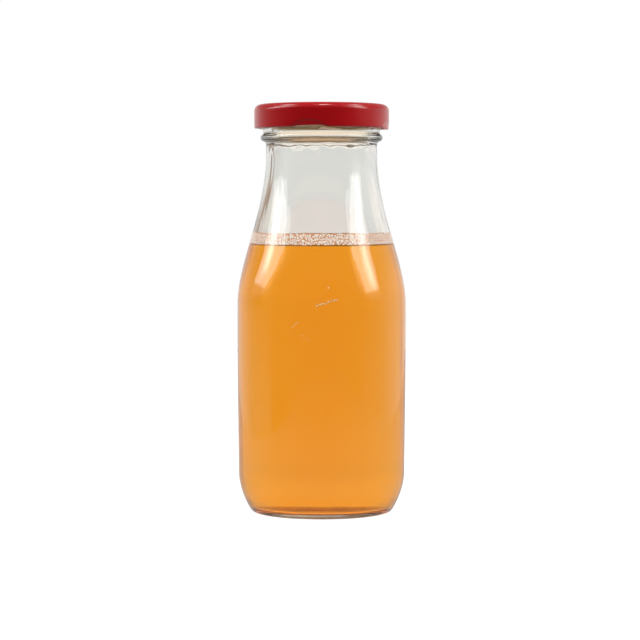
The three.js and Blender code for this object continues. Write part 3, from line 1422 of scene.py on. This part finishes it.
@dataclass
class Studio:
    """Camera, lamps, surroundings and table.

    Mirrored patches show in shiny surfaces and through patches show through clear ones. Table side and edge
    side are seen only by rays that have missed the drink, and edge side only by those that stay in the glass
    wall. Filled from is how many surfaces a ray has passed once it has been through the drink. Froth light is
    brighter than the rest of the room.
    """

    distance: float = 0.775
    eye_height: float = 0.102
    sideways: float = -0.00055
    pitch_down: float = 2.679
    lens: float = 127.1
    paper_front: float = 0.545
    paper_left: float = 0.245
    paper_right: float = 0.33
    paper_back: float = 0.9
    mirrored: tuple[Patch, ...] = (
        Patch(-88.0, -12.0, 20.0, 8.0, 5.0, (0.42, 0.42, 0.41)),
        Patch(110.0, -12.0, 14.0, 8.0, 5.0, (0.42, 0.42, 0.41)),
        Patch(-80.5, 9.0, 12.0, 4.0, 3.0, (0.8, 0.8, 0.78), -0.95, 0.3),
        Patch(103.5, 9.0, 11.0, 4.0, 3.0, (0.8, 0.8, 0.78), 0.41, 0.27),
        Patch(-98.0, 27.0, 18.0, 16.5, 1.0, (3.5, 3.5, 3.45), -1.05, 0.42),
        Patch(-97.0, 29.0, 5.5, 13.5, 5.0, (11.0, 11.0, 10.7), -1.0, 0.1),
        Patch(110.7, 27.0, 15.5, 16.5, 1.0, (3.5, 3.5, 3.4), 0.41, 0.27),
        Patch(107.0, 25.0, 5.0, 12.0, 5.0, (11.0, 11.0, 10.7), 0.41, 0.1),
        Patch(-90.0, 54.0, 14.0, 7.0, 2.0, (9.0, 9.0, 8.8)),
        Patch(90.0, 54.0, 13.0, 7.0, 2.0, (9.0, 9.0, 8.8)),
        Patch(172.0, 66.0, 15.0, 6.0, 2.0, (18.0, 18.0, 17.6)),
    )
    through: tuple[Patch, ...] = (
        Patch(-98.0, 27.0, 18.0, 16.5, 1.0, (3.5, 3.5, 3.45), -1.05, 0.42),
        Patch(110.7, 27.0, 15.5, 16.5, 1.0, (3.5, 3.5, 3.4), 0.41, 0.27),
    )
    filled_from: float = 4.5
    wall_only: float = 2.5
    dark: Colour = (0.045, 0.043, 0.04)
    pale: Colour = (0.9, 0.89, 0.87)
    front: Colour = (0.66, 0.57, 0.44)
    sweep_level: Colour = (0.74, 0.745, 0.73)
    sweep_low: Colour = (0.84, 0.8, 0.75)
    sweep_high: Colour = (0.98, 0.93, 0.87)
    drink_level: Colour = (1.03, 0.9, 0.7)
    drink_low: Colour = (0.96, 0.82, 0.6)
    froth_light: Colour = (2.2, 2.15, 2.1)
    paper_clear: Colour = (0.95, 0.82, 0.63)
    paper_drink: Colour = (0.96, 0.83, 0.65)
    # Painted light: an orange pool on the paper near the bottle's axis, seen through glass, as if lit through
    # the drink.
    paper_painted_light_pool: Colour = (1.15, 0.6, 0.18)
    table_side: Patch = Patch(-63.0, 8.0, 21.0, 10.0, 2.0, (0.26, 0.19, 0.14))
    edge_side: Patch = Patch(-30.0, 13.0, 17.0, 8.0, 2.5, (0.36, 0.25, 0.17))
    lamps: tuple[Lamp, ...] = (
        Lamp("lamp_left", -100.0, 32.0, 0.5, 0.5, 2.6),
        Lamp("lamp_right", 112.0, 32.0, 0.5, 0.5, 3.0),
        Lamp("lamp_front", 180.0, 55.0, 0.8, 0.8, 3.0),
    )

    def camera(self) -> None:
        """Sets the camera before the bottle's front, a little below its neck."""
        data = bpy.data.cameras.new("camera")
        data.lens = self.lens
        data.sensor_width = 36.0
        made = bpy.data.objects.new("camera", data)
        made.location = (self.sideways, -self.distance, self.eye_height)
        made.rotation_euler = (math.radians(90 - self.pitch_down), 0, 0)
        bpy.context.scene.collection.objects.link(made)
        bpy.context.scene.camera = made

    def surroundings(self) -> None:
        """A white sweep behind, lamps at both sides and a dark room on the camera's side."""
        world = bpy.data.worlds.new("studio_room")
        bpy.context.scene.world = world
        world.use_nodes = True
        tree = world.node_tree
        tree.nodes.clear()
        room = RoomNodes(tree)

        skewed = room.math("MULTIPLY_ADD", room.x, 0.2, room.y)
        low = room.rise(room.z, 0.1, 0.4, 1.0, 0.35)
        behind = room.math("MULTIPLY", room.rise(skewed, -0.3, 0.75), low)
        mirrored = room.mix(behind, self.dark, self.pale)
        for patch in self.mirrored:
            mirrored = room.patch(mirrored, patch)

        ahead = room.rise(room.y, -0.5, 0.1)
        lower = room.rise(room.z, 0.03, -0.035)
        higher = room.rise(room.z, 0.045, 0.1)
        sweep = room.mix(lower, self.sweep_level, self.sweep_low)
        sweep = room.mix(higher, sweep, self.sweep_high)
        ray = tree.nodes.new("ShaderNodeLightPath")
        empty = room.math("LESS_THAN", ray.outputs["Transmission Depth"], self.filled_from)
        filled = room.mix(lower, self.drink_level, self.drink_low)
        sweep = room.mix(empty, filled, sweep)
        through = room.mix(ahead, self.front, sweep)
        for patch in self.through:
            through = room.patch(through, patch)
        through = room.mix(empty, through, room.patch(through, self.table_side))
        edge = room.math("LESS_THAN", ray.outputs["Transmission Depth"], self.wall_only)
        through = room.mix(edge, through, room.patch(through, self.edge_side))
        scattered = room.math("GREATER_THAN", ray.outputs["Diffuse Depth"], 0.5)
        through = room.mix(scattered, through, self.froth_light)
        seen = room.mix(ray.outputs["Is Transmission Ray"], mirrored, through)
        seen = room.mix(ray.outputs["Is Camera Ray"], seen, (1.0, 1.0, 1.0))
        shade = tree.nodes.new("ShaderNodeBackground")
        out = tree.nodes.new("ShaderNodeOutputWorld")
        tree.links.new(seen, shade.inputs["Color"])
        tree.links.new(shade.outputs[0], out.inputs["Surface"])

    def paper(self) -> bpy.types.Material:
        """White paper, pure white to the eye with the faintest shadow.

        It glows rather than being lit. Seen in shiny surfaces, its glow is painted shade that dims towards
        its front edge. Seen through glass, it carries a painted pool of orange light near the bottle's axis,
        as if lit through the drink.

        Returns:
            The material.
        """
        material = bpy.data.materials.new("paper_white")
        material.use_nodes = True
        nodes, links = material.node_tree.nodes, material.node_tree.links
        nodes.clear()
        out = nodes.new("ShaderNodeOutputMaterial")
        ray = nodes.new("ShaderNodeLightPath")
        place = nodes.new("ShaderNodeTexCoord")
        split = nodes.new("ShaderNodeSeparateXYZ")
        # Painted shade: seen in shiny surfaces, the paper's glow dims from 0.6 by the bottle to 0.12 towards
        # its front edge.
        near = nodes.new("ShaderNodeMapRange")
        for label, value in (("From Min", -0.35), ("From Max", -0.02), ("To Min", 0.12), ("To Max", 0.6)):
            near.inputs[label].default_value = value
        mirrored = nodes.new("ShaderNodeEmission")
        through = nodes.new("ShaderNodeEmission")
        full = nodes.new("ShaderNodeMath")
        full.operation = "GREATER_THAN"
        full.inputs[1].default_value = self.filled_from
        tint = nodes.new("ShaderNodeMix")
        tint.data_type = "RGBA"
        tint.inputs["A"].default_value = (*self.paper_clear, 1)
        tint.inputs["B"].default_value = (*self.paper_drink, 1)
        away = nodes.new("ShaderNodeVectorMath")
        away.operation = "LENGTH"
        # Painted light: the orange pool fades out between 30 and 60 mm from the bottle's axis.
        under = nodes.new("ShaderNodeMapRange")
        for label, value in (("From Min", 0.03), ("From Max", 0.06), ("To Min", 1.0), ("To Max", 0.0)):
            under.inputs[label].default_value = value
        painted_light_pool_mix = nodes.new("ShaderNodeMix")
        painted_light_pool_mix.data_type = "RGBA"
        painted_light_pool_mix.inputs["B"].default_value = (*self.paper_painted_light_pool, 1)
        links.new(ray.outputs["Transmission Depth"], full.inputs[0])
        links.new(full.outputs["Value"], tint.inputs["Factor"])
        links.new(place.outputs["Object"], away.inputs[0])
        links.new(away.outputs["Value"], under.inputs["Value"])
        links.new(under.outputs["Result"], painted_light_pool_mix.inputs["Factor"])
        links.new(tint.outputs["Result"], painted_light_pool_mix.inputs["A"])
        links.new(painted_light_pool_mix.outputs["Result"], through.inputs["Color"])
        glow = nodes.new("ShaderNodeEmission")
        glow.inputs["Strength"].default_value = 0.9
        faint = nodes.new("ShaderNodeBsdfDiffuse")
        faint.inputs["Color"].default_value = (0.2, 0.2, 0.2, 1)
        seen = nodes.new("ShaderNodeAddShader")
        links.new(place.outputs["Object"], split.inputs["Vector"])
        links.new(split.outputs["Y"], near.inputs["Value"])
        links.new(near.outputs["Result"], mirrored.inputs["Strength"])
        links.new(glow.outputs[0], seen.inputs[0])
        links.new(faint.outputs[0], seen.inputs[1])
        last = mirrored.outputs[0]
        for label, shade in (("Is Transmission Ray", through), ("Is Camera Ray", seen)):
            mix = nodes.new("ShaderNodeMixShader")
            links.new(ray.outputs[label], mix.inputs[0])
            links.new(last, mix.inputs[1])
            links.new(shade.outputs[0], mix.inputs[2])
            last = mix.outputs[0]
        links.new(last, out.inputs["Surface"])
        return material

    def table(self) -> None:
        """The flat part of the paper sweep."""
        bm = bmesh.new()
        bmesh.ops.create_grid(bm, x_segments=1, y_segments=1, size=1.0)
        for vert in bm.verts:
            side = self.paper_right if vert.co.x > 0 else -self.paper_left
            vert.co = Vector((side, self.paper_back if vert.co.y > 0 else -self.paper_front, 0.0))
        to_object(bm, "paper_sweep", [self.paper()])

    def build(self) -> None:
        """Sets up everything that isn't part of the object."""
        self.camera()
        self.surroundings()
        self.table()
        for lamp in self.lamps:
            lamp.build()
        scene = bpy.context.scene
        scene.view_settings.view_transform = "Standard"
        scene.view_settings.look = "None"
        scene.cycles.max_bounces = 32
        scene.cycles.transmission_bounces = 28
        scene.cycles.transparent_max_bounces = 64


def millimetres(node: str) -> tuple[Vector, Vector]:
    """The lowest and highest corner of a CAD node, in millimetres."""
    low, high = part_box(node)
    return Vector(low) / MM, Vector(high) / MM


def main() -> None:
    """Builds the studio and the bottle's pieces in order."""
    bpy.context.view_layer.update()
    Studio().build()
    thread = Thread()
    cap_low, cap_high = millimetres("cap_shell")
    glass_high = millimetres("glass_bottle")[1]
    juice_high = millimetres("juice")[1]
    froth_low, froth_high = millimetres("froth_ring")
    seal_low, seal_high = millimetres("cap_seal")
    glass = GlassBottle(thread, cap_low.z, glass_high.x, glass_high.z)
    log.info("glass: %s", glass.build().name)
    log.info("juice: %s", Juice(glass, juice_high.z).build().name)
    log.info("froth: %s", Froth(glass, froth_low.z - 0.25, froth_high.z - froth_low.z + 0.35).build().name)
    log.info("wall bubbles: %s", WallBubbles(glass).build().name)
    log.info("cap: %s", CapShell(thread, cap_high.x, cap_low.z, cap_high.z).build().name)
    seal = CapSeal(glass_high.z + 0.04, seal_high.z + 0.25, 17.8, seal_high.x)
    log.info("seal: %s", seal.build().name)


if __name__ == "__main__":
    logging.basicConfig(level=logging.INFO, format="%(name)s: %(message)s")
    main()
